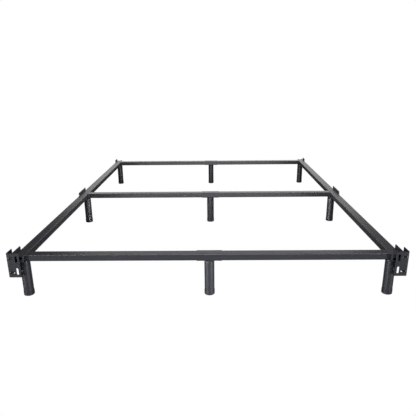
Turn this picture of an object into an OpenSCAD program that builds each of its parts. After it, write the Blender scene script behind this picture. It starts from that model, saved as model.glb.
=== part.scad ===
// Knock-down steel bed frame: two split side rails, three split cross bars, nine screw-in legs,
// retainer plates and a pair of headboard brackets. Millimetres, +Z up, floor at Z = 0,
// head end towards -Y, origin on the floor below the middle of the whole outline.

/* [Frame] */
// Height of the top faces of rails and bars above the floor
frame_h = 180; // [150:1:230]
// Width over the outer faces of the two side rails
frame_w = 1510; // [1240:2:1940]
// Length from the face of the headboard brackets to the foot end of the rails
frame_l = 1950; // [1620:5:2340]

/* [Tube] */
// Width of the rail and bar tube
tube_w = 40; // [38:1:50]
// Height of the rail and bar tube
tube_h = 27; // [20:1:30]
// Wall thickness of the tube
tube_t = 1.5; // [1.2:0.1:2]
// Outside corner radius of the tube
tube_r = 3; // [2.5:0.5:5]

/* [Layout] */
// Rails' head end, back from the face of the headboard brackets
head_setback = 10; // [10:1:30]
// Middle line of the head bar, in from the head end of the rails
head_inset = 31; // [21:1:60]
// Middle line of the foot bar, in from the foot end of the rails
foot_inset = 43; // [30:1:80]
// Middle line of the middle bar, towards the head from the joint of the rail halves
joint_shift = 32; // [26:1:60]
// Bar joints and centre legs, to the right of the middle of the frame
joint_x = 10; // [0:1:20]
// Axis of the side legs, out from the inner face of the rail
leg_inset = 12; // [10:1:20]

/* [Legs] */
// Diameter of the leg tube
leg_d = 40; // [32:0.5:45]
// Wall thickness of the leg tube
leg_t = 1.5; // [1.2:0.1:2.5]
// Radius of the rounded shoulder at the top of a leg
leg_shoulder = 4; // [2:0.5:5]
// Height of the plastic cap on the leg's foot
cap_h = 20; // [10:1:30]
// Wall thickness of the cap
cap_t = 0.8; // [0.8:0.1:2]
// Thickness of the cap's floor
cap_floor = 3; // [2:0.5:5]
// Radius of the cap's bottom edge
cap_r = 3; // [1:0.5:3]
// Diameter of the threaded stud on top of a leg
stud_d = 10; // [8:1:12]
// Lead of the stud's thread
stud_lead = 1.5; // [1:0.25:2]
// Length of the stud above the leg
stud_l = 16.5; // [15:0.5:17]

/* [Inserts] */
// Thickness of the tongues and of the couplers' floor
insert_t = 2.5; // [2:0.1:3]
// Width of a tongue
tongue_w = 30; // [24:1:32]
// Length of a coupler inside the bar halves
coupler_l = 180; // [120:5:240]
// Length of a rail splice
splice_l = 220; // [180:5:300]
// Length of the sleeve over a bar joint
sleeve_l = 100; // [70:2:140]
// Wall thickness of the sleeve
sleeve_t = 1.5; // [1:0.1:1.6]

/* [Brackets] */
// Rise of retainer plates and brackets above the rails
plate_rise = 15; // [8:1:30]
// Thickness of retainer plates and brackets
plate_t = 3; // [2:0.5:4]
// Length of the middle retainer plate
middle_plate_l = 132; // [120:2:160]
// Length of the foot retainer plate
foot_plate_l = 64; // [60:1:90]
// Length of the bracket's inner plate, from the bracket's face
inner_plate_l = 80; // [76:1:100]
// Length of the bracket's outer flange, from the bracket's face
flange_l = 50; // [30:1:70]
// Width of the bracket's face plate
bracket_w = 51; // [51:1:60]
// Height of the bracket
bracket_h = 101; // [94:1:110]
// Overhang of the bracket outside the rail
bracket_out = 25; // [24:1:30]
// Width of the fixing slots
slot_w = 9; // [6:0.5:10]
// Length of the two horizontal slots
level_slot_l = 22; // [16:1:22]
// Length of the two vertical slots
upright_slot_l = 29; // [20:1:32]
// Height between the two horizontal slots
level_pitch = 60; // [50:1:64]
// Height between the two vertical slots
upright_pitch = 51; // [44:1:56]

/* [Hidden] */
ENDS = ["head", "middle", "foot"];
SIDES = ["left", "right"];
PLACES = ["left", "centre", "right"];

PAINT = [0.27, 0.27, 0.29];
DARK_PLASTIC = [0.1, 0.1, 0.11];
ZINC = [0.66, 0.66, 0.64];
BLACK_ZINC = [0.16, 0.16, 0.17];
ROUND = 64;
cut = 1;

// Clearances: threads and studs, plain holes, sleeves and inserts, cap on its tube
thread_gap = 0.05;
hole_gap = 0.6;
insert_gap = 0.3;
sleeve_gap = 0.2;
cap_gap = 0.1;

// Heights of the layers
under = frame_h - tube_h;
floor_z = under + tube_t;
sleeve_under = under - sleeve_gap - sleeve_t;
plate_top = frame_h + plate_rise;
plate_foot = under + 1;
bolt_z = frame_h - tube_h / 2;

// Places along the frame
face_y = -frame_l / 2;
plug_t = 2;
rail_y0 = face_y + head_setback;
rail_y1 = frame_l / 2 - plug_t;
joint_y = (rail_y0 + rail_y1) / 2;
bar_ys = [rail_y0 + head_inset, joint_y - joint_shift, rail_y1 - foot_inset];

// Places across the frame
rail_out = frame_w / 2;
rail_in = rail_out - tube_w;
rail_x = rail_out - tube_w / 2;
leg_x = rail_in + leg_inset;
leg_xs = [-leg_x, joint_x, leg_x];

// Threaded inserts
washer_t = 2;
washer_d = 34;
nut_across = 16;
nut_h = 8.4;
stud_hole = stud_d + hole_gap * 2;
bar_gap = 1;
window_h = nut_h + insert_t + insert_gap;
tongue_in_bar = 60;
tongue_past_stud = 13;

// Plate bolts: size, and place from the end of each plate
bolt_d = 6;
bolt_head_d = 12;
bolt_head_h = 3.6;
bolt_nut_across = 10;
bolt_nut_h = 5;
bolt_end = 12;
bolt_pitch = 28;
middle_bolt_pitch = 92;
web_t = 2;
web_h = tube_h - 2 * tube_t - insert_gap - 2;
middle_plate_y = bar_ys[1] + 10;
foot_plate_y0 = frame_l / 2 - foot_plate_l;
middle_bolts = [for (k = [-1, 1]) middle_plate_y + k * middle_bolt_pitch / 2];
end_bolts = [
  face_y + inner_plate_l - bolt_end,
  face_y + inner_plate_l - bolt_end - bolt_pitch,
  foot_plate_y0 + bolt_end,
  foot_plate_y0 + bolt_end + bolt_pitch
];

// Depth of the stud's thread, by which its tip is chamfered
thread_depth = 0.61 * stud_lead;

module on_side(side) {
  if (side == "left") mirror([1, 0, 0]) children();
  else children();
}

// Rectangle with rounded corners, made of squares and circles so that the corners stay round
module rounded_rect(w, h, r) {
  square([w - 2 * r, h], center = true);
  square([w, h - 2 * r], center = true);
  for (x = [-1, 1], y = [-1, 1])
    translate([x * (w / 2 - r), y * (h / 2 - r)]) circle(r = r, $fn = ROUND);
}

module tube_outline(w, h, r, t) {
  difference() {
    rounded_rect(w, h, r);
    rounded_rect(w - 2 * t, h - 2 * t, r - t);
  }
}

module slot_outline(l, w) {
  square([l - w, w], center = true);
  for (k = [-1, 1]) translate([k * (l - w) / 2, 0]) circle(d = w, $fn = ROUND);
}

// Extrudes an outline along +Y from y0 to y1
module along_y(x, y0, y1, z) {
  translate([x, y0, z]) rotate([-90, 0, 0]) linear_extrude(y1 - y0) children();
}

// Extrudes an outline along +X from x0 to x1
module along_x(x0, x1, y, z) {
  translate([x0, y, z]) rotate([90, 0, 90]) linear_extrude(x1 - x0) children();
}

module hex_nut(across, h, bore) {
  difference() {
    cylinder(d = across / cos(30), h = h, $fn = 6);
    translate([0, 0, -cut]) cylinder(d = bore, h = h + 2 * cut, $fn = ROUND);
  }
}

module stud_nut() {
  hex_nut(nut_across, nut_h, stud_d + 2 * thread_gap);
}

// Outline of a plate in Y and Z, with its two upper corners cut off
module plate_outline(y0, y1, z0, z1, corner) {
  polygon([
    [y0, z0], [y1, z0], [y1, z1 - corner], [y1 - corner, z1],
    [y0 + corner, z1], [y0, z1 - corner]
  ]);
}

module bolt_holes(ys, x0, x1, d) {
  for (y = ys)
    translate([x0, y, bolt_z]) rotate([0, 90, 0]) cylinder(d = d, h = x1 - x0, $fn = ROUND);
}

// Half of a side rail: tube with stud holes below, tongue windows inside and bolt holes outside
module rail(end, side) {
  y0 = end == "head" ? rail_y0 : joint_y;
  y1 = end == "head" ? joint_y : rail_y1;
  ys = end == "head" ? [bar_ys[0], bar_ys[1]] : [bar_ys[2]];
  color(PAINT) on_side(side) difference() {
    along_y(rail_x, y0, y1, bolt_z) tube_outline(tube_w, tube_h, tube_r, tube_t);
    for (y = ys) {
      translate([leg_x, y, under - cut])
        cylinder(d = stud_hole, h = tube_t + 2 * cut, $fn = ROUND);
      translate([rail_in - cut, y - tongue_w / 2 - insert_gap, floor_z])
        cube([tube_r + cut, tongue_w + 2 * insert_gap, window_h]);
    }
    bolt_holes(concat(middle_bolts, end_bolts), rail_out - tube_t - cut, rail_out + cut, bolt_d + hole_gap);
  }
}

// Channel with its web at 0 and two rounded corners, open towards +Y
module channel_outline(w, h, r, t) {
  difference() {
    union() {
      translate([-w / 2, r]) square([w, h - r]);
      translate([r - w / 2, 0]) square([w - 2 * r, r]);
      for (k = [-1, 1]) translate([k * (w / 2 - r), r]) circle(r = r, $fn = ROUND);
    }
    translate([t - w / 2, t]) square([w - 2 * t, h]);
  }
}

// Splice inside the joint of two rail halves: a channel that opens downwards
module splice(side) {
  w = tube_w - 2 * tube_t - 2 * insert_gap;
  top = frame_h - tube_t - insert_gap;
  color(ZINC) on_side(side) difference() {
    along_y(rail_x, joint_y - splice_l / 2, joint_y + splice_l / 2, top)
      channel_outline(w, web_h, tube_r - tube_t - insert_gap, web_t);
    // the inner web steps over the tongue of the middle bar
    translate([rail_x - w / 2 - cut, bar_ys[1] - tongue_w / 2 - 2 * insert_gap, top - web_h - cut])
      cube([web_t + 2 * cut, tongue_w + 4 * insert_gap, web_h - web_t + cut]);
    bolt_holes(middle_bolts, rail_x, rail_out, bolt_d + hole_gap);
  }
}

// Half of a cross bar: tube from the rail's inner face to the joint over the centre leg
module bar(end, side) {
  y = bar_ys[search([end], ENDS)[0]];
  x0 = (side == "left" ? -joint_x : joint_x) + bar_gap / 2;
  color(PAINT) on_side(side) difference() {
    along_x(x0, rail_in, y, bolt_z) tube_outline(tube_w, tube_h, tube_r, tube_t);
    translate([x0 - bar_gap / 2, y, under - cut])
      cylinder(d = stud_hole, h = tube_t + 2 * cut, $fn = ROUND);
  }
}

// Tongue welded into the outer end of a bar, with the nut that the side leg screws into
module tongue(end, side) {
  y = bar_ys[search([end], ENDS)[0]];
  x0 = rail_in - tongue_in_bar;
  x1 = leg_x + tongue_past_stud;
  tip = 5;
  color(ZINC) on_side(side) translate([0, y, floor_z]) difference() {
    union() {
      linear_extrude(insert_t) polygon([
        [x0, -tongue_w / 2], [x1 - tip, -tongue_w / 2], [x1, tip - tongue_w / 2],
        [x1, tongue_w / 2 - tip], [x1 - tip, tongue_w / 2], [x0, tongue_w / 2]
      ]);
      translate([leg_x, 0, insert_t]) stud_nut();
    }
    translate([leg_x, 0, -cut])
      cylinder(d = stud_d + 2 * thread_gap, h = insert_t + nut_h + 2 * cut, $fn = ROUND);
  }
}

// Sleeve around the joint of two bar halves
module sleeve(end) {
  y = bar_ys[search([end], ENDS)[0]];
  w = tube_w + 2 * (sleeve_gap + sleeve_t);
  h = tube_h + 2 * (sleeve_gap + sleeve_t);
  r = tube_r + sleeve_gap + sleeve_t;
  color(PAINT) difference() {
    along_x(joint_x - sleeve_l / 2, joint_x + sleeve_l / 2, y, bolt_z) tube_outline(w, h, r, sleeve_t);
    translate([joint_x, y, sleeve_under - cut])
      cylinder(d = stud_hole, h = sleeve_t + 2 * cut, $fn = ROUND);
  }
}

// Coupler inside the joint of two bar halves: an upward channel with the centre leg's nut
module coupler(end) {
  y = bar_ys[search([end], ENDS)[0]];
  w = tube_w - 2 * tube_r;
  lip = 12;
  color(ZINC) translate([joint_x, y, floor_z]) difference() {
    union() {
      translate([-coupler_l / 2, -w / 2, 0]) cube([coupler_l, w, insert_t]);
      for (k = [-1, 1])
        translate([-coupler_l / 2, k * (w - web_t) / 2 - web_t / 2, 0]) cube([coupler_l, web_t, lip]);
      translate([0, 0, insert_t]) stud_nut();
    }
    translate([0, 0, -cut])
      cylinder(d = stud_d + 2 * thread_gap, h = insert_t + nut_h + 2 * cut, $fn = ROUND);
  }
}

// Plate on the rail's outer face that keeps the mattress from sliding sideways
module retainer(end, side) {
  y0 = end == "middle" ? middle_plate_y - middle_plate_l / 2 : foot_plate_y0;
  y1 = end == "middle" ? middle_plate_y + middle_plate_l / 2 : foot_plate_y0 + foot_plate_l;
  corner = 4;
  color(PAINT) on_side(side) difference() {
    along_x(rail_out, rail_out + plate_t, 0, 0) plate_outline(y0, y1, plate_foot, plate_top, corner);
    bolt_holes(concat(middle_bolts, end_bolts), rail_out - cut, rail_out + plate_t + cut, bolt_d + hole_gap);
  }
}

// Bend of the bracket seen from above, between its face plate and its outer flange
module bend_outline(r) {
  intersection() {
    difference() {
      circle(r = r, $fn = ROUND);
      circle(r = r - plate_t, $fn = ROUND);
    }
    translate([0, -r]) square([r, r]);
  }
}

// Headboard bracket: slotted face plate bent back into an outer flange, with an inner plate
// that is welded on behind the face plate and bolted to the rail's outer face
module bracket(side) {
  x1 = rail_out + bracket_out;
  x0 = x1 - bracket_w;
  z0 = plate_top - bracket_h;
  zm = plate_top - bracket_h / 2;
  bend = 6;
  corner = 4;
  hole_y = face_y + 11;
  hole_drop = 5;
  level_x = rail_out + 9;
  upright_x = rail_out - 12.5;
  color(PAINT) on_side(side) difference() {
    union() {
      translate([x0, face_y, z0]) cube([x1 - bend - x0, plate_t, bracket_h]);
      translate([x1 - bend, face_y + bend, z0]) linear_extrude(bracket_h) bend_outline(bend);
      translate([x1 - plate_t, face_y + bend, z0]) cube([plate_t, flange_l - bend, bracket_h]);
      along_x(rail_out, rail_out + plate_t, 0, 0) polygon([
        [face_y + plate_t, plate_foot], [face_y + inner_plate_l, plate_foot],
        [face_y + inner_plate_l, plate_top - corner], [face_y + inner_plate_l - corner, plate_top],
        [face_y + plate_t, plate_top]
      ]);
    }
    for (k = [-1, 1])
      along_y(level_x, face_y - cut, face_y + plate_t + cut, zm + k * level_pitch / 2)
        slot_outline(level_slot_l, slot_w);
    for (k = [-1, 1])
      along_y(upright_x, face_y - cut, face_y + plate_t + cut, zm + k * upright_pitch / 2)
        rotate(90) slot_outline(upright_slot_l, slot_w);
    for (k = [-1, 1])
      translate([x1 - plate_t - cut, hole_y, zm + k * level_pitch / 2 - hole_drop])
        rotate([0, 90, 0]) cylinder(d = slot_w, h = plate_t + 2 * cut, $fn = ROUND);
    bolt_holes(end_bolts, rail_out - cut, rail_out + plate_t + cut, bolt_d + hole_gap);
  }
}

// Bolts through the plates into the rails, all alike: a low round head and a plain shank
module plate_bolts() {
  shank_x = rail_out - tube_t - insert_gap - web_t - bolt_nut_h - 1;
  color(ZINC) for (side = SIDES, y = concat(middle_bolts, end_bolts))
    on_side(side) translate([0, y, bolt_z]) rotate([0, 90, 0]) {
      translate([0, 0, shank_x])
        cylinder(d = bolt_d, h = rail_out + plate_t - shank_x, $fn = ROUND);
      translate([0, 0, rail_out + plate_t])
        cylinder(d = bolt_head_d, h = bolt_head_h / 2, $fn = ROUND);
      translate([0, 0, rail_out + plate_t + bolt_head_h / 2])
        cylinder(d1 = bolt_head_d, d2 = bolt_head_d / 2, h = bolt_head_h / 2, $fn = ROUND);
    }
}

// Nuts welded inside the rails and the splices for the plate bolts
module plate_nuts() {
  color(ZINC) for (side = SIDES) on_side(side) {
    for (y = end_bolts)
      translate([rail_out - tube_t - bolt_nut_h, y, bolt_z]) rotate([0, 90, 0])
        hex_nut(bolt_nut_across, bolt_nut_h, bolt_d + 2 * thread_gap);
    for (y = middle_bolts)
      translate([rail_out - tube_t - insert_gap - web_t - bolt_nut_h, y, bolt_z]) rotate([0, 90, 0])
        hex_nut(bolt_nut_across, bolt_nut_h, bolt_d + 2 * thread_gap);
  }
}

// Plastic plugs in the open ends of the rails: a face as large as the tube and a hollow spigot
module end_plugs() {
  spigot_l = 10;
  spigot_t = 1.6;
  w = tube_w - 2 * tube_t - 2 * sleeve_gap;
  h = tube_h - 2 * tube_t - 2 * sleeve_gap;
  r = tube_r - tube_t - sleeve_gap;
  color(DARK_PLASTIC) for (side = SIDES) on_side(side) {
    along_y(rail_x, rail_y0 - plug_t, rail_y0, bolt_z) rounded_rect(tube_w, tube_h, tube_r);
    along_y(rail_x, rail_y0, rail_y0 + spigot_l, bolt_z) tube_outline(w, h, r, spigot_t);
    along_y(rail_x, rail_y1, rail_y1 + plug_t, bolt_z) rounded_rect(tube_w, tube_h, tube_r);
    along_y(rail_x, rail_y1 - spigot_l, rail_y1, bolt_z) tube_outline(w, h, r, spigot_t);
  }
}

// Where a leg stands, and the face above it that its washer rests against
function leg_at(end, place) = [
  leg_xs[search([place], PLACES)[0]],
  bar_ys[search([end], ENDS)[0]],
  place == "centre" ? sleeve_under : under
];

// Leg: round tube, closed top with a rounded shoulder, and a stud welded on it
module leg(end, place) {
  at = leg_at(end, place);
  top = at[2] - washer_t;
  r = leg_d / 2;
  color(PAINT) translate([at[0], at[1], 0]) {
    translate([0, 0, cap_floor]) difference() {
      cylinder(r = r, h = top - leg_shoulder - cap_floor, $fn = ROUND);
      translate([0, 0, -cut])
        cylinder(r = r - leg_t, h = top - leg_shoulder - cap_floor + cut, $fn = ROUND);
    }
    translate([0, 0, top - leg_shoulder]) rotate_extrude($fn = ROUND) {
      square([r - leg_shoulder, leg_shoulder]);
      intersection() {
        translate([r - leg_shoulder, 0]) circle(r = leg_shoulder, $fn = ROUND);
        square([r, leg_shoulder]);
      }
    }
    translate([0, 0, top]) cylinder(d = stud_d, h = stud_l - thread_depth, $fn = ROUND);
    translate([0, 0, top + stud_l - thread_depth])
      cylinder(d1 = stud_d, d2 = stud_d - 2 * thread_depth, h = thread_depth, $fn = ROUND);
  }
}

// Loose washer between a leg and the tube above it
module washer(end, place) {
  at = leg_at(end, place);
  color(BLACK_ZINC) translate([at[0], at[1], at[2] - washer_t]) difference() {
    cylinder(d = washer_d, h = washer_t, $fn = ROUND);
    translate([0, 0, -cut]) cylinder(d = stud_d + hole_gap, h = washer_t + 2 * cut, $fn = ROUND);
  }
}

// Plastic cup pressed over the foot of a leg, with a rounded bottom edge
module cap(end, place) {
  at = leg_at(end, place);
  r_in = leg_d / 2 + cap_gap;
  r_out = r_in + cap_t;
  color(DARK_PLASTIC) translate([at[0], at[1], 0]) rotate_extrude($fn = ROUND) {
    square([r_out - cap_r, cap_floor]);
    intersection() {
      translate([r_out - cap_r, cap_r]) circle(r = cap_r, $fn = ROUND);
      square([r_out, cap_r]);
    }
    translate([r_in, cap_floor]) square([cap_t, cap_h - cap_floor]);
  }
}

for (end = ["head", "foot"], side = SIDES)
  rail(end, side);
for (side = SIDES)
  splice(side);
for (end = ENDS, side = SIDES)
  bar(end, side);
for (end = ENDS, side = SIDES)
  tongue(end, side);
for (end = ENDS)
  sleeve(end);
for (end = ENDS)
  coupler(end);
for (end = ["middle", "foot"], side = SIDES)
  retainer(end, side);
for (side = SIDES)
  bracket(side);
plate_bolts();
plate_nuts();
end_plugs();
for (end = ENDS, place = PLACES)
  leg(end, place);
for (end = ENDS, place = PLACES)
  washer(end, place);
for (end = ENDS, place = PLACES)
  cap(end, place);
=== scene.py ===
"""Knock-down steel bed frame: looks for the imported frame, in metres, head end towards -Y."""
import math

import bmesh
import bpy
from mathutils import Matrix, Vector


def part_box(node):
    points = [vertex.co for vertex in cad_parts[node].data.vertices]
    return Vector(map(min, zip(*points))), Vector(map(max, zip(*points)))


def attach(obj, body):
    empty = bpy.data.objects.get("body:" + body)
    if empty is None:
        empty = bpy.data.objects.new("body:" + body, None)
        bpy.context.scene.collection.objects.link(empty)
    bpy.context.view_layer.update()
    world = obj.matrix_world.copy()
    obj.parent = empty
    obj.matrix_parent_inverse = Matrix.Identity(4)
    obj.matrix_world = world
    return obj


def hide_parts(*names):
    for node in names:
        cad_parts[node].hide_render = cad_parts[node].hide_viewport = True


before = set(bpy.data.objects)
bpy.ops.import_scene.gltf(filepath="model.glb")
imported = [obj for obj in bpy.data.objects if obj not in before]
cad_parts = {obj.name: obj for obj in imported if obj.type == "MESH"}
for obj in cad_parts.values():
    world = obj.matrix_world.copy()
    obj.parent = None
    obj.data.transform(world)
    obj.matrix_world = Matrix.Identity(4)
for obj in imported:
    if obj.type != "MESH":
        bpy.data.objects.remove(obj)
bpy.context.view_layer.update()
scene = bpy.context.scene
MM = 0.001

# ---------------------------------------------------------------------------------------------
# Studio. A camera stands at hip height off the head end and looks along the frame. The light comes
# from one soft box overhead, two low strips with grids, two panels behind and two low bounces.
# ---------------------------------------------------------------------------------------------
camera_data = bpy.data.cameras.new("camera")
camera_data.sensor_width = 36.0
camera_data.lens = 37.54
camera = bpy.data.objects.new("camera", camera_data)
camera_place = Matrix.Translation((0.0272, -2.5187, 0.8556))
camera_turn = Matrix.Rotation(math.radians(0.74), 4, "Z")
camera_tilt = Matrix.Rotation(math.radians(90 - 17.26), 4, "X")
camera_roll = Matrix.Rotation(math.radians(-0.56), 4, "Z")
camera.matrix_world = camera_place @ camera_turn @ camera_tilt @ camera_roll
scene.collection.objects.link(camera)
scene.camera = camera
scene.view_settings.view_transform = "Standard"

# The room is white to the eye, and a dim grey in reflections, so that the frame stays dark.
room = bpy.data.worlds.new("room")
room.use_nodes = True
room_tree = room.node_tree
room_seen = room_tree.nodes["Background"]
room_seen.inputs["Color"].default_value = (1.0, 1.0, 1.0, 1.0)
room_felt = room_tree.nodes.new("ShaderNodeBackground")
room_felt.inputs["Color"].default_value = (0.93, 0.96, 1.0, 1.0)
room_felt.inputs["Strength"].default_value = 0.10
room_ray = room_tree.nodes.new("ShaderNodeLightPath")
room_mix = room_tree.nodes.new("ShaderNodeMixShader")
room_tree.links.new(room_ray.outputs["Is Camera Ray"], room_mix.inputs[0])
room_tree.links.new(room_felt.outputs[0], room_mix.inputs[1])
room_tree.links.new(room_seen.outputs[0], room_mix.inputs[2])
room_tree.links.new(room_mix.outputs[0], room_tree.nodes["World Output"].inputs["Surface"])
scene.world = room


def soft_box(name, place, aim, width, height, radiance, colour, spread=180.0):
    """An area light that faces a point, as bright as radiance all over, and unseen itself."""
    data = bpy.data.lights.new(name, "AREA")
    data.shape = "RECTANGLE"
    data.size = width
    data.size_y = height
    data.energy = radiance * math.pi * width * height
    data.color = colour
    data.spread = math.radians(spread)
    light = bpy.data.objects.new(name, data)
    light.location = place
    light.rotation_euler = (Vector(aim) - Vector(place)).to_track_quat("-Z", "Y").to_euler()
    light.visible_camera = False
    scene.collection.objects.link(light)


COOL = (0.93, 0.95, 1.0)
WARM = (1.0, 0.985, 0.96)
soft_box("overhead_box", (0.0, -2.6, 3.2), (0.0, -0.9, 0.15), 4.0, 1.1, 13.0, COOL)
soft_box("left_strip", (-3.3, -3.4, 0.37), (0.0, -0.93, 0.1), 0.8, 0.7, 4.3, COOL, 20.0)
soft_box("right_strip", (3.2, -3.5, 0.37), (0.0, -0.93, 0.1), 0.8, 0.7, 3.7, COOL, 20.0)
soft_box("back_panel", (0.1, 5.2, 1.5), (0.0, 0.0, 0.18), 5.4, 2.0, 1.75, WARM)
soft_box("back_side_panel", (4.2, 3.6, 2.0), (0.7, -0.6, 0.18), 1.6, 2.2, 1.6, WARM)
soft_box("head_bay_bounce", (0.0, -0.62, 0.05), (0.0, 0.4, 0.3), 1.36, 0.1, 5.5, COOL)
soft_box("foot_bay_bounce", (0.0, 0.33, 0.05), (0.0, 1.3, 0.3), 1.36, 0.1, 5.0, COOL)

floor_paint = bpy.data.materials.new("floor_white")
floor_paint.use_nodes = True
floor_tree = floor_paint.node_tree
floor_shader = floor_tree.nodes["Principled BSDF"]
floor_shader.inputs["Base Color"].default_value = (0.10, 0.10, 0.105, 1.0)
floor_shader.inputs["Roughness"].default_value = 0.9
floor_glow = floor_tree.nodes.new("ShaderNodeEmission")
floor_glow.inputs["Strength"].default_value = 1.0
floor_ray = floor_tree.nodes.new("ShaderNodeLightPath")
floor_mix = floor_tree.nodes.new("ShaderNodeMixShader")
floor_tree.links.new(floor_ray.outputs["Is Camera Ray"], floor_mix.inputs[0])
floor_tree.links.new(floor_shader.outputs[0], floor_mix.inputs[1])
floor_tree.links.new(floor_glow.outputs[0], floor_mix.inputs[2])
floor_tree.links.new(floor_mix.outputs[0], floor_tree.nodes["Material Output"].inputs["Surface"])
floor_bm = bmesh.new()
bmesh.ops.create_grid(floor_bm, x_segments=1, y_segments=1, size=30.0)
floor_mesh = bpy.data.meshes.new("floor")
floor_bm.to_mesh(floor_mesh)
floor_bm.free()
floor_mesh.materials.append(floor_paint)
floor = bpy.data.objects.new("floor", floor_mesh)
scene.collection.objects.link(floor)

# ---------------------------------------------------------------------------------------------
# Side rails. Each rail is two lengths of rolled 40 by 27 mm steel tube with round corners,
# powder-coated charcoal. Stud holes, tongue windows and bolt holes are punched before coating.
# ---------------------------------------------------------------------------------------------
WALL = 1.5 * MM
CORNER = 3.0 * MM
STUD_HOLE = 5.6 * MM
BOLT_HOLE = 3.3 * MM
PUNCH_BELOW = 3.0 * MM
PUNCH_ABOVE = 5.0 * MM
WINDOW_HALF = 15.3 * MM
WINDOW_RISE = 11.2 * MM
NEAR_BOLT = 12.0 * MM
FAR_BOLT = 40.0 * MM
MIDDLE_BOLT = 46.0 * MM
ONE_POINT = 1e-6
ALONG = 1e-5
ENDS = ("head", "middle", "foot")
SIDES = ("left", "right")
PLACES = ("left", "centre", "right")


def add_node(tree, kind, **inputs):
    """A node with its named inputs set, or linked where the value is a socket."""
    node = tree.nodes.new(kind)
    for name, value in inputs.items():
        socket = node.inputs[name.replace("_", " ")]
        if isinstance(value, bpy.types.NodeSocket):
            tree.links.new(value, socket)
        else:
            socket.default_value = value
    return node


def math_node(tree, operation, *values):
    """A Math node, with numbers or sockets as its values. Returns its output."""
    node = tree.nodes.new("ShaderNodeMath")
    node.operation = operation
    for socket, value in zip(node.inputs, values):
        if isinstance(value, bpy.types.NodeSocket):
            tree.links.new(value, socket)
        else:
            socket.default_value = value
    return node.outputs[0]


def scaled(tree, value, factor):
    """A socket's value times a number."""
    return math_node(tree, "MULTIPLY", value, factor)


def noise(tree, point, scale, detail=2.0, roughness=0.5):
    """Noise over Object coordinates. Returns its value."""
    node = add_node(tree, "ShaderNodeTexNoise", Vector=point, Scale=scale, Detail=detail)
    node.inputs["Roughness"].default_value = roughness
    return node.outputs[0]


def band(tree, value, low, high):
    """A smooth step from 0 at low to 1 at high."""
    node = tree.nodes.new("ShaderNodeMapRange")
    node.interpolation_type = "SMOOTHSTEP"
    tree.links.new(value, node.inputs["Value"])
    node.inputs["From Min"].default_value = low
    node.inputs["From Max"].default_value = high
    return node.outputs["Result"]


def blend_colour(tree, mask, first, second):
    """Mixes two colours by a mask. Returns the colour."""
    node = tree.nodes.new("ShaderNodeMix")
    node.data_type = "RGBA"
    tree.links.new(mask, node.inputs["Factor"])
    for socket, value in ((node.inputs[6], first), (node.inputs[7], second)):
        if isinstance(value, bpy.types.NodeSocket):
            tree.links.new(value, socket)
        else:
            socket.default_value = (*value, 1.0)
    return node.outputs[2]


def new_group(name, inputs, outputs):
    """An empty shader group with number inputs and outputs. Returns it and its two end nodes."""
    group = bpy.data.node_groups.new(name, "ShaderNodeTree")
    for label, value in inputs.items():
        socket = group.interface.new_socket(label, in_out="INPUT", socket_type="NodeSocketFloat")
        socket.default_value = value
    for label in outputs:
        group.interface.new_socket(label, in_out="OUTPUT", socket_type="NodeSocketFloat")
    return group, group.nodes.new("NodeGroupInput"), group.nodes.new("NodeGroupOutput")


def place_group(tree, group, **values):
    """Puts a group in a material, with its inputs set."""
    node = tree.nodes.new("ShaderNodeGroup")
    node.node_tree = group
    for name, value in values.items():
        node.inputs[name].default_value = value
    return node


def make_grain():
    """Orange peel of a baked coat and the fine tooth on it: a height and a fleck mask."""
    group, ins, outs = new_group("coat_grain", {"Peel": 260.0, "Tooth": 1500.0}, ("Height", "Fleck"))
    point = group.nodes.new("ShaderNodeTexCoord").outputs["Object"]
    peel = noise(group, point, ins.outputs["Peel"], 2.0)
    tooth = noise(group, point, ins.outputs["Tooth"], 3.0, 0.6)
    height = math_node(group, "ADD", scaled(group, peel, 0.7), scaled(group, tooth, 0.3))
    group.links.new(height, outs.inputs["Height"])
    group.links.new(band(group, tooth, 0.58, 0.72), outs.inputs["Fleck"])
    return group


def make_handling():
    """Marks of packing and handling: broad smudges, settled dust and thin scratches."""
    sizes = {"Smudge": 6.0, "Scratch": 40.0}
    group, ins, outs = new_group("handling_marks", sizes, ("Smudge", "Dust", "Scratch"))
    coords = group.nodes.new("ShaderNodeTexCoord")
    point = coords.outputs["Object"]
    smudge = band(group, noise(group, point, ins.outputs["Smudge"], 4.0, 0.6), 0.45, 0.7)
    up = group.nodes.new("ShaderNodeSeparateXYZ")
    group.links.new(coords.outputs["Normal"], up.inputs[0])
    speck = band(group, noise(group, point, 900.0, 2.0), 0.55, 0.75)
    dust = math_node(group, "MULTIPLY", speck, band(group, up.outputs["Z"], 0.5, 1.0))
    stretch = add_node(group, "ShaderNodeMapping", Vector=point)
    stretch.inputs["Rotation"].default_value = (0.3, 0.5, 0.7)
    stretch.inputs["Scale"].default_value = (1.0, 14.0, 14.0)
    lines = noise(group, stretch.outputs[0], ins.outputs["Scratch"], 2.0, 0.4)
    thin = math_node(group, "ABSOLUTE", math_node(group, "SUBTRACT", lines, 0.5))
    scratch = math_node(group, "SUBTRACT", 1.0, band(group, thin, 0.0, 0.006))
    sparse = band(group, noise(group, point, 9.0, 1.0), 0.62, 0.7)
    group.links.new(smudge, outs.inputs["Smudge"])
    group.links.new(dust, outs.inputs["Dust"])
    group.links.new(math_node(group, "MULTIPLY", scratch, sparse), outs.inputs["Scratch"])
    return group


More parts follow.
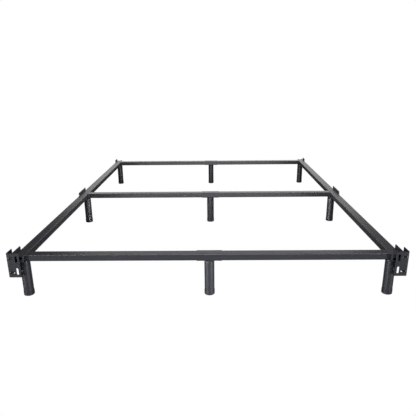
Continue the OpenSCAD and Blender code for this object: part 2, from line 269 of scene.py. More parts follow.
def make_corner_highlight_and_rub():
    """Painted highlight on the rounded corners, whose normals lie along no axis, and rubbed wear in
    patches on them.
    """
    group, ins, outs = new_group("corner_highlight_and_rub", {"Rub": 120.0}, ("Corner_highlight", "Rubbed"))
    coords = group.nodes.new("ShaderNodeTexCoord")
    parts = group.nodes.new("ShaderNodeSeparateXYZ")
    group.links.new(coords.outputs["Normal"], parts.inputs[0])
    x, y, z = [math_node(group, "ABSOLUTE", parts.outputs[name]) for name in ("X", "Y", "Z")]
    flat = math_node(group, "MAXIMUM", math_node(group, "MAXIMUM", x, y), z)
    # Painted highlight mask: strongest where the normal lies along no axis, on the rounded corners.
    corner = band(group, math_node(group, "SUBTRACT", 1.0, flat), 0.06, 0.28)
    rub = band(group, noise(group, coords.outputs["Object"], ins.outputs["Rub"], 4.0, 0.7), 0.62, 0.8)
    group.links.new(corner, outs.inputs["Corner_highlight"])
    group.links.new(math_node(group, "MULTIPLY", corner, rub), outs.inputs["Rubbed"])
    return group


GRAIN = make_grain()
HANDLING = make_handling()
EDGES = make_corner_highlight_and_rub()


COAT_DUST = (0.35, 0.34, 0.32)
WORN_COAT = (0.2, 0.2, 0.2)


def powder_coat(name, colour, thin, roughness, rounded=True):
    """Satin powder coat on steel. thin is a lighter tone, used for the grain's flecks and, where rounded
    is set, for a painted highlight over the rounded corners.
    """
    material = bpy.data.materials.new(name)
    material.use_nodes = True
    tree = material.node_tree
    shader = tree.nodes["Principled BSDF"]
    grain = place_group(tree, GRAIN)
    marks = place_group(tree, HANDLING)
    point = tree.nodes.new("ShaderNodeTexCoord").outputs["Object"]
    drift = band(tree, noise(tree, point, 3.0, 3.0), 0.3, 0.7)
    darker = tuple(part * 0.93 for part in colour)
    tone = blend_colour(tree, drift, darker, colour)
    tone = blend_colour(tree, scaled(tree, grain.outputs["Fleck"], 0.35), tone, thin)
    tone = blend_colour(tree, scaled(tree, marks.outputs["Dust"], 0.05), tone, COAT_DUST)
    if rounded:
        edges = place_group(tree, EDGES)
        # Painted highlight: the rounded corners are lightened towards the thin tone.
        tone = blend_colour(tree, scaled(tree, edges.outputs["Corner_highlight"], 0.5), tone, thin)
        tone = blend_colour(tree, scaled(tree, edges.outputs["Rubbed"], 0.3), tone, WORN_COAT)
    tree.links.new(tone, shader.inputs["Base Color"])
    rough = math_node(tree, "ADD", roughness, scaled(tree, marks.outputs["Smudge"], 0.02))
    rough = math_node(tree, "ADD", rough, scaled(tree, marks.outputs["Dust"], 0.06))
    rough = math_node(tree, "SUBTRACT", rough, scaled(tree, marks.outputs["Scratch"], 0.1))
    tree.links.new(rough, shader.inputs["Roughness"])
    shader.inputs["IOR"].default_value = 1.5
    groove = scaled(tree, marks.outputs["Scratch"], 0.3)
    height = math_node(tree, "SUBTRACT", grain.outputs["Height"], groove)
    bump = add_node(tree, "ShaderNodeBump", Height=height, Strength=0.3, Distance=0.00004)
    tree.links.new(bump.outputs[0], shader.inputs["Normal"])
    return material


def finish_piece(name, bm, material, body, nodes, edge=0.4, recalc=True):
    """Makes an object of a bmesh: breaks its sharp edges, shades it, and ties it to the frame."""
    bmesh.ops.remove_doubles(bm, verts=bm.verts, dist=ONE_POINT)
    if recalc:
        bmesh.ops.recalc_face_normals(bm, faces=bm.faces)
    mesh = bpy.data.meshes.new(name)
    bm.to_mesh(mesh)
    bm.free()
    mesh.materials.append(material)
    mesh.shade_smooth()
    piece = bpy.data.objects.new(name, mesh)
    scene.collection.objects.link(piece)
    if edge:
        broken = piece.modifiers.new("broken_edges", "BEVEL")
        broken.limit_method = "ANGLE"
        broken.angle_limit = math.radians(40)
        broken.width = edge * MM
        broken.segments = 2
        broken.harden_normals = False
    else:
        mesh.set_sharp_from_angle(angle=math.radians(35))
    even = piece.modifiers.new("even_shading", "WEIGHTED_NORMAL")
    even.keep_sharp = True
    even.weight = 80
    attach(piece, body)
    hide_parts(*nodes)
    return piece


def add_block(bm, low, high):
    """A block between two opposite corners."""
    low, high = Vector(low), Vector(high)
    made = bmesh.ops.create_cube(bm, size=1.0)
    shape = Matrix.Translation((low + high) / 2) @ Matrix.Diagonal((*(high - low), 1.0))
    bmesh.ops.transform(bm, matrix=shape, verts=made["verts"])
    return made["verts"]


def edges_along(edges, axis):
    """Those of some edges that run along an axis."""
    return [e for e in edges if abs((e.verts[0].co - e.verts[1].co)[axis]) > ALONG]


def round_over(bm, edges, radius, steps):
    """Rounds some edges of a bmesh."""
    bmesh.ops.bevel(
        bm, geom=edges, offset=radius, offset_type="OFFSET", affect="EDGES",
        segments=steps, profile=0.5, material=-1,
    )


def add_tube(bm, low, high, along, corner, wall):
    """A rectangular tube with round corners between two opposite corners of its box."""
    low, high = Vector(low), Vector(high)
    verts = add_block(bm, low, high)
    edges = {e for v in verts for e in v.link_edges}
    round_over(bm, edges_along(edges, along), corner, 8)
    mid = (low[along] + high[along]) / 2
    ends = [
        f for f in bm.faces
        if len(f.verts) > 4 and abs(f.normal[along]) > 0.9
        and min(abs(f.calc_center_median()[along] - stop[along]) for stop in (low, high)) < ONE_POINT
    ]
    ends = sorted(ends, key=lambda f: abs(f.calc_center_median()[along] - mid))[-2:]
    bmesh.ops.inset_region(bm, faces=ends, thickness=wall, use_even_offset=True)
    rims = list({e for f in ends for e in f.edges})
    bmesh.ops.delete(bm, geom=ends, context="FACES_ONLY")
    bmesh.ops.bridge_loops(bm, edges=rims)


def add_round(bm, place, radius, low, high, axis="Z", segments=48):
    """A round bar between two heights along an axis through a place."""
    made = bmesh.ops.create_cone(
        bm, cap_ends=True, segments=segments, radius1=radius, radius2=radius, depth=high - low,
    )
    turn = {
        "X": Matrix.Rotation(math.pi / 2, 4, "Y"),
        "Y": Matrix.Rotation(-math.pi / 2, 4, "X"),
        "Z": Matrix.Identity(4),
    }
    shift = Matrix.Translation((0, 0, (low + high) / 2))
    bmesh.ops.transform(bm, matrix=Matrix.Translation(place) @ turn[axis] @ shift, verts=made["verts"])
    return made["verts"]


def punch(bm, tools):
    """Cuts one bmesh out of another and returns the result as a new bmesh."""
    bodies = []
    for label, source in (("blank", bm), ("punch", tools)):
        bmesh.ops.recalc_face_normals(source, faces=source.faces)
        mesh = bpy.data.meshes.new(label)
        source.to_mesh(mesh)
        source.free()
        body = bpy.data.objects.new(label, mesh)
        scene.collection.objects.link(body)
        bodies.append(body)
    blank, tool = bodies
    cut = blank.modifiers.new("cut", "BOOLEAN")
    cut.operation = "DIFFERENCE"
    cut.solver = "EXACT"
    cut.object = tool
    bpy.context.view_layer.update()
    result = bmesh.new()
    evaluated = blank.evaluated_get(bpy.context.evaluated_depsgraph_get())
    result.from_mesh(evaluated.to_mesh())
    evaluated.to_mesh_clear()
    for body in bodies:
        mesh = body.data
        bpy.data.objects.remove(body)
        bpy.data.meshes.remove(mesh)
    return result


def middle(node):
    """The middle of a node's box."""
    low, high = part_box(node)
    return (Vector(low) + Vector(high)) / 2


charcoal = (0.0112, 0.0115, 0.0132)
# A lighter charcoal for the coat's grain flecks and for the painted highlight on rounded corners.
charcoal_fleck_and_highlight = (0.03, 0.03, 0.032)
rail_paint = powder_coat("rail_paint", charcoal, charcoal_fleck_and_highlight, 0.38)

bolt_places = []
for side in SIDES:
    bracket_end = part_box(f"bracket_{side}")[1][1]
    plate_low, plate_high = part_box(f"retainer_middle_{side}")
    plate_middle = (plate_low[1] + plate_high[1]) / 2
    foot_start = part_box(f"retainer_foot_{side}")[0][1]
    rows = (
        bracket_end - NEAR_BOLT, bracket_end - FAR_BOLT,
        plate_middle - MIDDLE_BOLT, plate_middle + MIDDLE_BOLT,
        foot_start + NEAR_BOLT, foot_start + FAR_BOLT,
    )
    bolt_places += [(side, y) for y in rows]
bolt_height = middle("rail_head_left").z

for end in ("head", "foot"):
    for side in SIDES:
        node = f"rail_{end}_{side}"
        low, high = [Vector(c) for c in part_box(node)]
        blank = bmesh.new()
        add_tube(blank, low, high, 1, CORNER, WALL)
        tools = bmesh.new()
        for bar in ENDS:
            seat = middle(f"washer_{bar}_{side}")
            if low.y < seat.y < high.y:
                add_round(tools, seat, STUD_HOLE, -PUNCH_BELOW, PUNCH_ABOVE)
                inner = high.x if side == "left" else low.x
                sill = low.z + WALL
                window_low = (inner - PUNCH_BELOW, seat.y - WINDOW_HALF, sill)
                window_high = (inner + PUNCH_BELOW, seat.y + WINDOW_HALF, sill + WINDOW_RISE)
                add_block(tools, window_low, window_high)
        outer = low.x if side == "left" else high.x
        for bolt_side, y in bolt_places:
            if bolt_side == side and low.y < y < high.y:
                add_round(tools, (outer, y, bolt_height), BOLT_HOLE, -PUNCH_BELOW, PUNCH_BELOW, "X")
        cut_tube = punch(blank, tools)
        finish_piece(node + "_tube", cut_tube, rail_paint, "frame", [node], edge=0.3)

# ---------------------------------------------------------------------------------------------
# Cross bars. Three bars of the same tube, each in two halves that meet inside a sleeve. A hole
# in the bottom wall lets the centre leg's stud through.
# ---------------------------------------------------------------------------------------------
bar_paint = powder_coat("bar_paint", charcoal, charcoal_fleck_and_highlight, 0.34)
for end in ENDS:
    for side in SIDES:
        node = f"bar_{end}_{side}"
        low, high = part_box(node)
        blank = bmesh.new()
        add_tube(blank, low, high, 0, CORNER, WALL)
        tools = bmesh.new()
        stud = middle(f"washer_{end}_centre")
        add_round(tools, (stud.x, stud.y, low[2]), STUD_HOLE, -PUNCH_BELOW, PUNCH_ABOVE)
        cut_tube = punch(blank, tools)
        finish_piece(node + "_tube", cut_tube, bar_paint, "frame", [node], edge=0.3)

# ---------------------------------------------------------------------------------------------
# Sleeves. A short, slightly larger tube slides over each bar joint and hides it. Its cut ends
# are rounded over, and the centre leg's stud passes through its floor.
# ---------------------------------------------------------------------------------------------
SLEEVE_WALL = 1.5 * MM
SLEEVE_GAP = 0.2 * MM
SLEEVE_CORNER = CORNER + SLEEVE_WALL + SLEEVE_GAP
SLEEVE_PUNCH = 2.0 * MM
sleeve_paint = powder_coat("sleeve_paint", charcoal, charcoal_fleck_and_highlight, 0.33)
for end in ENDS:
    node = f"sleeve_{end}"
    low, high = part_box(node)
    blank = bmesh.new()
    add_tube(blank, low, high, 0, SLEEVE_CORNER, SLEEVE_WALL)
    tools = bmesh.new()
    stud = middle(f"washer_{end}_centre")
    add_round(tools, (stud.x, stud.y, low[2]), STUD_HOLE, -PUNCH_BELOW, SLEEVE_PUNCH)
    cut_tube = punch(blank, tools)
    finish_piece(node + "_tube", cut_tube, sleeve_paint, "frame", [node], edge=0.5)

# ---------------------------------------------------------------------------------------------
# Retainer plates. Flat 3 mm steel plates bolted to the rails' outer faces. They stand up past
# the rail so that the mattress base can't slide sideways, and their upper corners are rounded.
# ---------------------------------------------------------------------------------------------
plate_paint = powder_coat("plate_paint", charcoal, charcoal_fleck_and_highlight, 0.34)
PLATE_CORNER = 4.0 * MM
PLATE_PUNCH = 4.0 * MM


def add_plate(bm, low, high, rounded_top):
    """A plate that faces X, with the named top corners rounded."""
    verts = add_block(bm, low, high)
    edges = {e for v in verts for e in v.link_edges}
    ends = [low[1], high[1]]
    chosen = [
        e for e in edges_along(edges, 0)
        if all(abs(v.co.z - high[2]) < ONE_POINT for v in e.verts)
        and any(abs(e.verts[0].co.y - ends[k]) < ONE_POINT for k in rounded_top)
    ]
    round_over(bm, chosen, PLATE_CORNER, 6)


def punch_bolt_holes(tools, side, low, high):
    """Pegs for a plate's bolt holes, where the plate lies between two corners."""
    for bolt_side, y in bolt_places:
        if bolt_side == side and low[1] < y < high[1]:
            place = ((low[0] + high[0]) / 2, y, bolt_height)
            add_round(tools, place, BOLT_HOLE, -PLATE_PUNCH, PLATE_PUNCH, "X")


for end in ("middle", "foot"):
    for side in SIDES:
        node = f"retainer_{end}_{side}"
        low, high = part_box(node)
        blank = bmesh.new()
        add_plate(blank, low, high, (0, 1))
        tools = bmesh.new()
        punch_bolt_holes(tools, side, low, high)
        cut_plate = punch(blank, tools)
        finish_piece(node + "_plate", cut_plate, plate_paint, "frame", [node], edge=0.5)

# ---------------------------------------------------------------------------------------------
# Headboard brackets. 3 mm steel strip bent back into an outer flange, slotted for the headboard's
# bolts, with an inner plate welded behind the face and bolted to the rail.
# ---------------------------------------------------------------------------------------------
BEND = 6.0 * MM
BEND_STEPS = 10
SLOT = 9.0 * MM
LEVEL_SLOT = 22.0 * MM
UPRIGHT_SLOT = 29.0 * MM
LEVEL_RISE = 30.0 * MM
UPRIGHT_RISE = 25.5 * MM
LEVEL_PLACE = 9.0 * MM
UPRIGHT_PLACE = 12.5 * MM
FLANGE = 50.0 * MM
ACCESS_BACK = 11.0 * MM
ACCESS_DROP = 5.0 * MM
BEAD = 1.9 * MM
RIPPLE = 1.5 * MM


def add_slot(bm, x, y, z, length, width, upright):
    """A peg with an oval outline that cuts a slot through a plate facing Y."""
    sides = 32
    centre = Vector((x, y, z))
    verts = add_round(bm, centre, width / 2, -PUNCH_ABOVE, PUNCH_BELOW + PUNCH_ABOVE, "Y", sides)
    bmesh.ops.rotate(bm, verts=verts, cent=centre, matrix=Matrix.Rotation(math.pi / sides, 3, "Y"))
    axis = 2 if upright else 0
    reach = (length - width) / 2
    for vert in verts:
        vert.co[axis] += math.copysign(reach, vert.co[axis] - centre[axis])


def add_weld(bm, start, end, radius, ripple):
    """A fillet weld's bead: overlapping drops along a line."""
    start, end = Vector(start), Vector(end)
    steps = int((end - start).length / ripple)
    for step in range(steps + 1):
        made = bmesh.ops.create_icosphere(bm, subdivisions=2, radius=radius)
        drop = Matrix.Translation(start.lerp(end, step / steps)) @ Matrix.Diagonal((1.0, 1.0, 0.7, 1.0))
        bmesh.ops.transform(bm, matrix=drop, verts=made["verts"])


for side in SIDES:
    node = f"bracket_{side}"
    out = -1 if side == "left" else 1
    low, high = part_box(node)
    rail_low, rail_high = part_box(f"rail_head_{side}")
    rail_out = rail_high[0] if side == "right" else -rail_low[0]
    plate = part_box(f"retainer_foot_{side}")
    sheet = plate[1][0] - plate[0][0]
    face_y = low[1]
    outer = high[0] if side == "right" else -low[0]
    inner = low[0] if side == "right" else -high[0]
    bend_x = out * (outer - BEND)
    sheet_bm = bmesh.new()
    start = sheet_bm.verts.new((out * inner, face_y, low[2]))
    bend_start = sheet_bm.verts.new((bend_x, face_y, low[2]))
    lip = sheet_bm.verts.new((out * inner, face_y + sheet, low[2]))
    bend_lip = sheet_bm.verts.new((bend_x, face_y + sheet, low[2]))
    sheet_bm.edges.new((start, bend_start))
    sheet_bm.edges.new((lip, bend_lip))
    sheet_bm.edges.new((start, lip))
    rung = sheet_bm.edges.new((bend_start, bend_lip))
    bmesh.ops.contextual_create(sheet_bm, geom=sheet_bm.edges[:])
    bent = bmesh.ops.spin(
        sheet_bm, geom=[bend_start, bend_lip, rung], cent=(bend_x, face_y + BEND, low[2]),
        axis=(0, 0, out), angle=math.pi / 2, steps=BEND_STEPS, use_duplicate=False,
    )
    flange_verts = [v for v in bent["geom_last"] if isinstance(v, bmesh.types.BMVert)]
    flange_edge = [e for e in bent["geom_last"] if isinstance(e, bmesh.types.BMEdge)]
    flange = bmesh.ops.extrude_edge_only(sheet_bm, edges=flange_edge)
    flange_end = [v for v in flange["geom"] if isinstance(v, bmesh.types.BMVert)]
    flange_y = max(v.co.y for v in flange_verts)
    flange_length = FLANGE - (flange_y - face_y)
    bmesh.ops.translate(sheet_bm, verts=flange_end, vec=(0, flange_length, 0))
    bmesh.ops.remove_doubles(sheet_bm, verts=sheet_bm.verts, dist=ONE_POINT)
    raised = bmesh.ops.extrude_face_region(sheet_bm, geom=sheet_bm.faces[:])
    top_verts = [v for v in raised["geom"] if isinstance(v, bmesh.types.BMVert)]
    bmesh.ops.translate(sheet_bm, verts=top_verts, vec=(0, 0, high[2] - low[2]))
    middle_z = (low[2] + high[2]) / 2
    slots = bmesh.new()
    for k in (-1, 1):
        level_x = out * (rail_out + LEVEL_PLACE)
        upright_x = out * (rail_out - UPRIGHT_PLACE)
        level_z = middle_z + k * LEVEL_RISE
        upright_z = middle_z + k * UPRIGHT_RISE
        add_slot(slots, level_x, face_y, level_z, LEVEL_SLOT, SLOT, False)
        add_slot(slots, upright_x, face_y, upright_z, UPRIGHT_SLOT, SLOT, True)
        hole = (out * (outer - sheet / 2), face_y + ACCESS_BACK, level_z - ACCESS_DROP)
        add_round(slots, hole, SLOT / 2, -PLATE_PUNCH, PLATE_PUNCH, "X", 32)
    slotted = punch(sheet_bm, slots)
    finish_piece(f"{node}_face", slotted, plate_paint, "frame", [node], edge=0.5)
    blank = bmesh.new()
    inner_low = (plate[0][0], face_y + sheet, plate[0][2])
    inner_high = (plate[1][0], high[1], high[2])
    add_plate(blank, inner_low, inner_high, (1,))
    tools = bmesh.new()
    punch_bolt_holes(tools, side, inner_low, inner_high)
    cut_plate = punch(blank, tools)
    finish_piece(f"{node}_plate", cut_plate, plate_paint, "frame", [node], edge=0.5)
    bead = bmesh.new()
    for x in (plate[0][0], plate[1][0]):
        bead_foot = (x, face_y + sheet, inner_low[2] + 2 * MM)
        bead_top = (x, face_y + sheet, high[2] - 3 * MM)
        add_weld(bead, bead_foot, bead_top, BEAD, RIPPLE)
    finish_piece(f"{node}_weld", bead, plate_paint, "frame", [node], edge=0)

# ---------------------------------------------------------------------------------------------
# Plate bolts. M6 button-head bolts with a hexagon socket, zinc-plated, through the plates and
# the rails' outer walls into nuts inside. All twelve are alike.
# ---------------------------------------------------------------------------------------------
HEAD_RADIUS = 6.0 * MM
HEAD_HEIGHT = 3.6 * MM
SHANK_RADIUS = 3.0 * MM
KEY_RADIUS = 2.3 * MM
KEY_DEPTH = 4.0 * MM
WHITE_BLOOM = (0.72, 0.72, 0.7)


def zinc_plate(name, colour, roughness, brush):
    """Zinc plate over steel: cloudy crystals, rolled streaks and a little white bloom."""
    material = bpy.data.materials.new(name)
    material.use_nodes = True
    tree = material.node_tree
    shader = tree.nodes["Principled BSDF"]
    marks = place_group(tree, HANDLING, Smudge=30.0, Scratch=160.0)
    point = tree.nodes.new("ShaderNodeTexCoord").outputs["Object"]
    crystals = add_node(tree, "ShaderNodeTexVoronoi", Vector=point, Scale=340.0)
    cloud = band(tree, noise(tree, point, 90.0, 3.0), 0.3, 0.7)
    duller = tuple(part * 0.72 for part in colour)
    tone = blend_colour(tree, cloud, duller, colour)
    bloom = band(tree, noise(tree, point, 55.0, 5.0, 0.7), 0.6, 0.78)
    tone = blend_colour(tree, scaled(tree, bloom, 0.35), tone, WHITE_BLOOM)
    tree.links.new(tone, shader.inputs["Base Color"])
    shader.inputs["Metallic"].default_value = 0.92
    rough = math_node(tree, "ADD", roughness, scaled(tree, marks.outputs["Smudge"], 0.12))
    rough = math_node(tree, "ADD", rough, scaled(tree, bloom, 0.18))
    tree.links.new(rough, shader.inputs["Roughness"])
    streaks = noise(tree, point, brush, 3.0, 0.6)
    height = math_node(tree, "ADD", scaled(tree, crystals.outputs["Distance"], 0.5), streaks)
    height = math_node(tree, "SUBTRACT", height, scaled(tree, marks.outputs["Scratch"], 0.6))
    bump = add_node(tree, "ShaderNodeBump", Height=height, Strength=0.3, Distance=0.00005)
    tree.links.new(bump.outputs[0], shader.inputs["Normal"])
    return material


def add_copy(bm, part_bm):
    """Adds one bmesh to another and frees it."""
    part = bpy.data.meshes.new("part")
    part_bm.to_mesh(part)
    part_bm.free()
    bm.from_mesh(part)
    bpy.data.meshes.remove(part)


fastener_zinc = zinc_plate("fastener_zinc", (0.52, 0.52, 0.51), 0.3, 900.0)
bolt_bm = bmesh.new()
shank_tip = 9.0 * MM
for side, y in bolt_places:
    out = -1 if side == "left" else 1
    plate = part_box(f"retainer_foot_{side}")
    face_x = plate[1][0] if side == "right" else -plate[0][0]
    profile_bm = bmesh.new()
    profile = [
        (0.0, -shank_tip), (SHANK_RADIUS * 0.8, -shank_tip),
        (SHANK_RADIUS, -shank_tip + 0.7 * MM), (SHANK_RADIUS, 0.0),
        (HEAD_RADIUS - 0.3 * MM, 0.0), (HEAD_RADIUS, 0.4 * MM),
        (HEAD_RADIUS * 0.97, 1.1 * MM), (HEAD_RADIUS * 0.88, 2.0 * MM),
        (HEAD_RADIUS * 0.72, 2.8 * MM), (HEAD_RADIUS * 0.5, HEAD_HEIGHT), (0.0, HEAD_HEIGHT),
    ]
    verts = [profile_bm.verts.new((radius, 0.0, height)) for radius, height in profile]
    edges = [profile_bm.edges.new(pair) for pair in zip(verts, verts[1:])]
    bmesh.ops.spin(
        profile_bm, geom=verts + edges, cent=(0, 0, 0), axis=(0, 0, 1),
        angle=2 * math.pi, steps=32, use_merge=True,
    )
    bmesh.ops.remove_doubles(profile_bm, verts=profile_bm.verts, dist=ONE_POINT)
    key = bmesh.new()
    made = bmesh.ops.create_cone(
        key, cap_ends=True, segments=6, radius1=KEY_RADIUS, radius2=KEY_RADIUS, depth=KEY_DEPTH,
    )
    bmesh.ops.translate(key, verts=made["verts"], vec=(0, 0, HEAD_HEIGHT))
    one = punch(profile_bm, key)
    place = Matrix.Translation((out * face_x, y, bolt_height)) @ Matrix.Rotation(out * math.pi / 2, 4, "Y")
    bmesh.ops.transform(one, matrix=place, verts=one.verts)
    add_copy(bolt_bm, one)
finish_piece("plate_bolts_heads", bolt_bm, fastener_zinc, "frame", ["plate_bolts"], edge=0)

# ---------------------------------------------------------------------------------------------
# Rail end plugs. Black polypropylene, moulded: a face the size of the tube with a rounded rim,
# a shallow panel on it, and a hollow spigot pushed into the tube. Known fault: PANEL_INSET is more
# than the corner radius inside the rim, so the panel's corner points stand out of the tube's outline.
# ---------------------------------------------------------------------------------------------
SPIGOT = 10.0 * MM
SPIGOT_WALL = 1.6 * MM
PLUG_GAP = 0.2 * MM
PLUG_RIM = 0.9 * MM
PANEL_INSET = 3.2 * MM
PANEL_SLOPE = 0.3 * MM
PANEL_DEPTH = 0.4 * MM
PLASTIC_RUB = (0.09, 0.09, 0.09)
PLASTIC_SCUFF = (0.11, 0.11, 0.11)
PLASTIC_DUST = (0.3, 0.29, 0.27)


def moulded(name, colour, roughness, grain_size):
    """Moulded plastic with a fine spark texture, flow clouding and light scuffs."""
    material = bpy.data.materials.new(name)
    material.use_nodes = True
    tree = material.node_tree
    shader = tree.nodes["Principled BSDF"]
    grain = place_group(tree, GRAIN, Peel=grain_size, Tooth=grain_size * 3)
    marks = place_group(tree, HANDLING, Smudge=20.0, Scratch=90.0)
    edges = place_group(tree, EDGES, Rub=200.0)
    point = tree.nodes.new("ShaderNodeTexCoord").outputs["Object"]
    flow = band(tree, noise(tree, point, 25.0, 3.0), 0.35, 0.65)
    tone = blend_colour(tree, flow, tuple(part * 0.8 for part in colour), colour)
    tone = blend_colour(tree, scaled(tree, edges.outputs["Rubbed"], 0.4), tone, PLASTIC_RUB)
    tone = blend_colour(tree, scaled(tree, marks.outputs["Scratch"], 0.5), tone, PLASTIC_SCUFF)
    tone = blend_colour(tree, scaled(tree, marks.outputs["Dust"], 0.15), tone, PLASTIC_DUST)
    tree.links.new(tone, shader.inputs["Base Color"])
    rough = math_node(tree, "ADD", roughness, scaled(tree, marks.outputs["Smudge"], 0.08))
    tree.links.new(rough, shader.inputs["Roughness"])
    shader.inputs["IOR"].default_value = 1.48
    groove = scaled(tree, marks.outputs["Scratch"], 0.5)
    height = math_node(tree, "SUBTRACT", grain.outputs["Height"], groove)
    bump = add_node(tree, "ShaderNodeBump", Height=height, Strength=0.4, Distance=0.00008)
    tree.links.new(bump.outputs[0], shader.inputs["Normal"])
    return material


def faces_at(bm, y):
    """The faces that lie flat at a place along the frame."""
    return [f for f in bm.faces if all(abs(v.co.y - y) < ONE_POINT for v in f.verts)]


plug_plastic = moulded("plug_plastic", (0.010, 0.010, 0.011), 0.5, 700.0)
plug_low, plug_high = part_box("end_plugs")
plug_bm = bmesh.new()
for side in SIDES:
    for end, face, inward in (("head", plug_low[1], 1), ("foot", plug_high[1], -1)):
        low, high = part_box(f"rail_{end}_{side}")
        tube_end = low[1] if end == "head" else high[1]
        part_bm = bmesh.new()
        span = sorted((face, tube_end))
        add_block(part_bm, (low[0], span[0], low[2]), (high[0], span[1], high[2]))
        round_over(part_bm, edges_along(part_bm.edges, 1), CORNER, 8)
        outer_face = faces_at(part_bm, face)
        rim = list({e for f in outer_face for e in f.edges})
        round_over(part_bm, rim, PLUG_RIM, 3)
        panel = [f for f in faces_at(part_bm, face) if len(f.verts) > 8]
        bmesh.ops.inset_region(part_bm, faces=panel, thickness=PANEL_INSET, use_even_offset=True)
        bmesh.ops.inset_region(
            part_bm, faces=panel, thickness=PANEL_SLOPE, depth=-PANEL_DEPTH, use_even_offset=True,
        )
        wall = WALL + PLUG_GAP
        span = sorted((tube_end, tube_end + inward * SPIGOT))
        add_tube(
            part_bm, (low[0] + wall, span[0], low[2] + wall), (high[0] - wall, span[1], high[2] - wall),
            1, CORNER - wall, SPIGOT_WALL,
        )
        bmesh.ops.recalc_face_normals(part_bm, faces=part_bm.faces)
        add_copy(plug_bm, part_bm)
finish_piece("end_plugs_moulded", plug_bm, plug_plastic, "frame", ["end_plugs"], edge=0)

# ---------------------------------------------------------------------------------------------
# Inserts. Zinc-plated tongues, couplers, splices and weld nuts sit inside the tubes and join
# the halves. Their shapes are plain pressings, so they stay as drawn and only get their plate.
# ---------------------------------------------------------------------------------------------
insert_zinc = zinc_plate("insert_zinc", (0.46, 0.46, 0.45), 0.38, 500.0)
inserts = [f"tongue_{end}_{side}" for end in ENDS for side in SIDES]
inserts += [f"coupler_{end}" for end in ENDS] + [f"splice_{side}" for side in SIDES]
for node in inserts + ["plate_nuts"]:
    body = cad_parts[node]
    paint = fastener_zinc if node == "plate_nuts" else insert_zinc
    if not body.data.materials:
        body.data.materials.append(paint)
    for seat in body.material_slots:
        seat.material = paint

# ---------------------------------------------------------------------------------------------
# Legs. Round steel tube with a closed top and a rounded shoulder, powder-coated like the rails.
# An M10 stud is welded through the top: it is masked while the leg is coated, and stays zinc.
# ---------------------------------------------------------------------------------------------
LEG_WALL = 1.5 * MM
SHOULDER = 4.0 * MM
CAP_FLOOR = 3.0 * MM
LEAD = 1.5 * MM
STUD_RADIUS = 5.0 * MM
THREAD_DEPTH = 0.915 * MM
THREAD_MERGE = 1e-5
leg_paint = powder_coat("leg_paint", charcoal, charcoal_fleck_and_highlight, 0.40, rounded=False)
stud_zinc = zinc_plate("stud_zinc", (0.55, 0.55, 0.53), 0.28, 1100.0)


def spin_profile(points, steps=64):
    """A closed solid of revolution about Z from a list of radius and height pairs."""
    bm = bmesh.new()
    verts = [bm.verts.new((radius, 0.0, height)) for radius, height in points]
    edges = [bm.edges.new(pair) for pair in zip(verts, verts[1:])]
    if points[0][0] > 0 and points[-1][0] > 0:
        edges.append(bm.edges.new((verts[-1], verts[0])))
    bmesh.ops.spin(
        bm, geom=verts + edges, cent=(0, 0, 0), axis=(0, 0, 1),
        angle=2 * math.pi, steps=steps, use_merge=True,
    )
    bmesh.ops.remove_doubles(bm, verts=bm.verts, dist=ONE_POINT)
    bmesh.ops.recalc_face_normals(bm, faces=bm.faces)
    return bm


def arc(centre, radius, start, end, steps):
    """Points on an arc of a profile, from one angle to another in degrees."""
    turns = [math.radians(start + (end - start) * k / steps) for k in range(steps + 1)]
    return [(centre[0] + radius * math.cos(a), centre[1] + radius * math.sin(a)) for a in turns]


def stand(node):
    """The low and high corners of a round upright node, the place of its axis and its radius."""
    low, high = [Vector(corner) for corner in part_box(node)]
    axis = Matrix.Translation(((low.x + high.x) / 2, (low.y + high.y) / 2, 0))
    return low, high, axis, (high.x - low.x) / 2


def finish_round(name, bm, axis, material, body, node):
    """Moves a turned shape to its axis and finishes it, with its edges as they are."""
    bmesh.ops.transform(bm, matrix=axis, verts=bm.verts)
    finish_piece(name, bm, material, body, [node], edge=0, recalc=False)


def threaded_stud(foot, tip):
    """A right-hand screw thread between two heights, with its tip chamfered."""
    bm = bmesh.new()
    turns = int((tip - foot) / LEAD) + 3
    steps = 32
    root = STUD_RADIUS - THREAD_DEPTH
    crest = LEAD / 16
    flank = [
        (STUD_RADIUS, 0.0), (STUD_RADIUS, crest * 2),
        (root, LEAD / 2), (root, LEAD / 2 + crest * 3), (STUD_RADIUS, LEAD),
    ]
    verts = [bm.verts.new((radius, 0.0, foot - 2 * LEAD + height)) for radius, height in flank]
    edges = [bm.edges.new(pair) for pair in zip(verts, verts[1:])]
    bmesh.ops.spin(
        bm, geom=verts + edges, cent=(0, 0, 0), axis=(0, 0, 1), dvec=(0, 0, LEAD / steps),
        angle=2 * math.pi * turns, steps=steps * turns,
    )
    bmesh.ops.remove_doubles(bm, verts=bm.verts, dist=THREAD_MERGE)
    for height, up in ((foot, -1), (tip, 1)):
        cut = bmesh.ops.bisect_plane(
            bm, geom=bm.verts[:] + bm.edges[:] + bm.faces[:], dist=ONE_POINT,
            plane_co=(0, 0, height), plane_no=(0, 0, up), clear_outer=True,
        )
        rim = [e for e in cut["geom_cut"] if isinstance(e, bmesh.types.BMEdge)]
        bmesh.ops.contextual_create(bm, geom=rim)
    for vert in bm.verts:
        limit = STUD_RADIUS - max(0.0, vert.co.z - (tip - THREAD_DEPTH))
        radius = vert.co.xy.length
        if radius > limit:
            vert.co.xy *= limit / radius
    bmesh.ops.recalc_face_normals(bm, faces=bm.faces)
    return bm


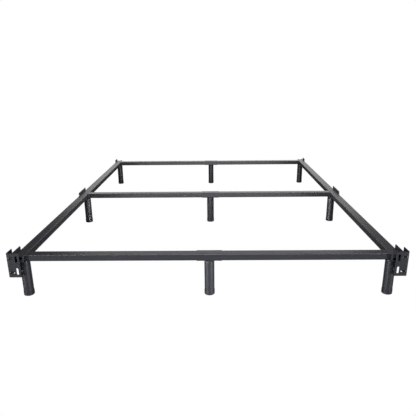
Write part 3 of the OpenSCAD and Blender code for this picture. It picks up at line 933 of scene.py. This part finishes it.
for end in ENDS:
    for place in PLACES:
        node = f"leg_{end}_{place}"
        low, high, axis, radius = stand(node)
        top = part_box(f"washer_{end}_{place}")[0][2]
        bore = radius - LEG_WALL
        profile = [(0.0, top)] + arc((radius - SHOULDER, top - SHOULDER), SHOULDER, 90, 0, 10)
        profile += [(radius, low.z + 0.4 * MM), (radius - 0.3 * MM, low.z)]
        profile += [(bore + 0.3 * MM, low.z), (bore, low.z + 0.4 * MM)]
        profile += [(bore, top - SHOULDER - 0.5 * MM), (bore - 1.0 * MM, top - SHOULDER)]
        profile += [(0.0, top - SHOULDER)]
        tube_bm = spin_profile(profile)
        finish_round(f"{node}_tube", tube_bm, axis, leg_paint, node, node)
        stud_bm = threaded_stud(top, high.z)
        finish_round(f"{node}_stud", stud_bm, axis, stud_zinc, node, node)

# ---------------------------------------------------------------------------------------------
# Washers. Stamped from 2 mm sheet and black zinc-plated: the punch rolls the upper edges over and
# leaves the lower ones sharp. One lies loose on each leg's shoulder, around the stud.
# ---------------------------------------------------------------------------------------------
WASHER_BORE = 5.3 * MM
ROLL = 0.5 * MM
BURR = 0.1 * MM
washer_black_zinc = zinc_plate("washer_black_zinc", (0.05, 0.05, 0.052), 0.33, 700.0)
for end in ENDS:
    for place in PLACES:
        node = f"washer_{end}_{place}"
        low, high, axis, rim = stand(node)
        profile = [(WASHER_BORE, low.z + BURR), (WASHER_BORE + BURR, low.z)]
        profile += [(rim - BURR, low.z), (rim, low.z + BURR)]
        profile += arc((rim - ROLL, high.z - ROLL), ROLL, 0, 90, 4)
        profile += arc((WASHER_BORE + ROLL, high.z - ROLL), ROLL, 90, 180, 4)
        washer_bm = spin_profile(profile)
        finish_round(f"{node}_disc", washer_bm, axis, washer_black_zinc, node, node)

# ---------------------------------------------------------------------------------------------
# Foot caps. Black plastic cups pressed over the legs' feet, with a rounded bottom edge, a soft
# rim, and a ring groove and a gate mark underneath.
# ---------------------------------------------------------------------------------------------
CAP_WALL = 0.8 * MM
CAP_ROUND = 3.0 * MM
CAP_RIM = 0.4 * MM
cap_plastic = moulded("cap_plastic", (0.0098, 0.010, 0.0125), 0.40, 500.0)
for end in ENDS:
    for place in PLACES:
        node = f"cap_{end}_{place}"
        low, high, axis, outer = stand(node)
        bore = outer - CAP_WALL
        floor_z = low.z + CAP_FLOOR
        profile = [(0.0, low.z + 0.8 * MM), (1.6 * MM, low.z + 0.8 * MM)]
        profile += [(2.0 * MM, low.z + 1.2 * MM), (9.0 * MM, low.z + 1.2 * MM)]
        profile += [(9.4 * MM, low.z + 0.2 * MM), (9.6 * MM, low.z)]
        profile += [(14.0 * MM, low.z), (14.3 * MM, low.z + 0.6 * MM)]
        profile += [(15.3 * MM, low.z + 0.6 * MM), (15.6 * MM, low.z)]
        profile += arc((outer - CAP_ROUND, low.z + CAP_ROUND), CAP_ROUND, -90, 0, 8)
        profile += arc((outer - CAP_RIM, high.z - CAP_RIM), CAP_RIM, 0, 90, 4)
        profile += [(bore, high.z - 0.2 * MM), (bore, floor_z), (0.0, floor_z)]
        cup_bm = spin_profile(profile)
        finish_round(f"{node}_cup", cup_bm, axis, cap_plastic, f"leg_{end}_{place}", node)
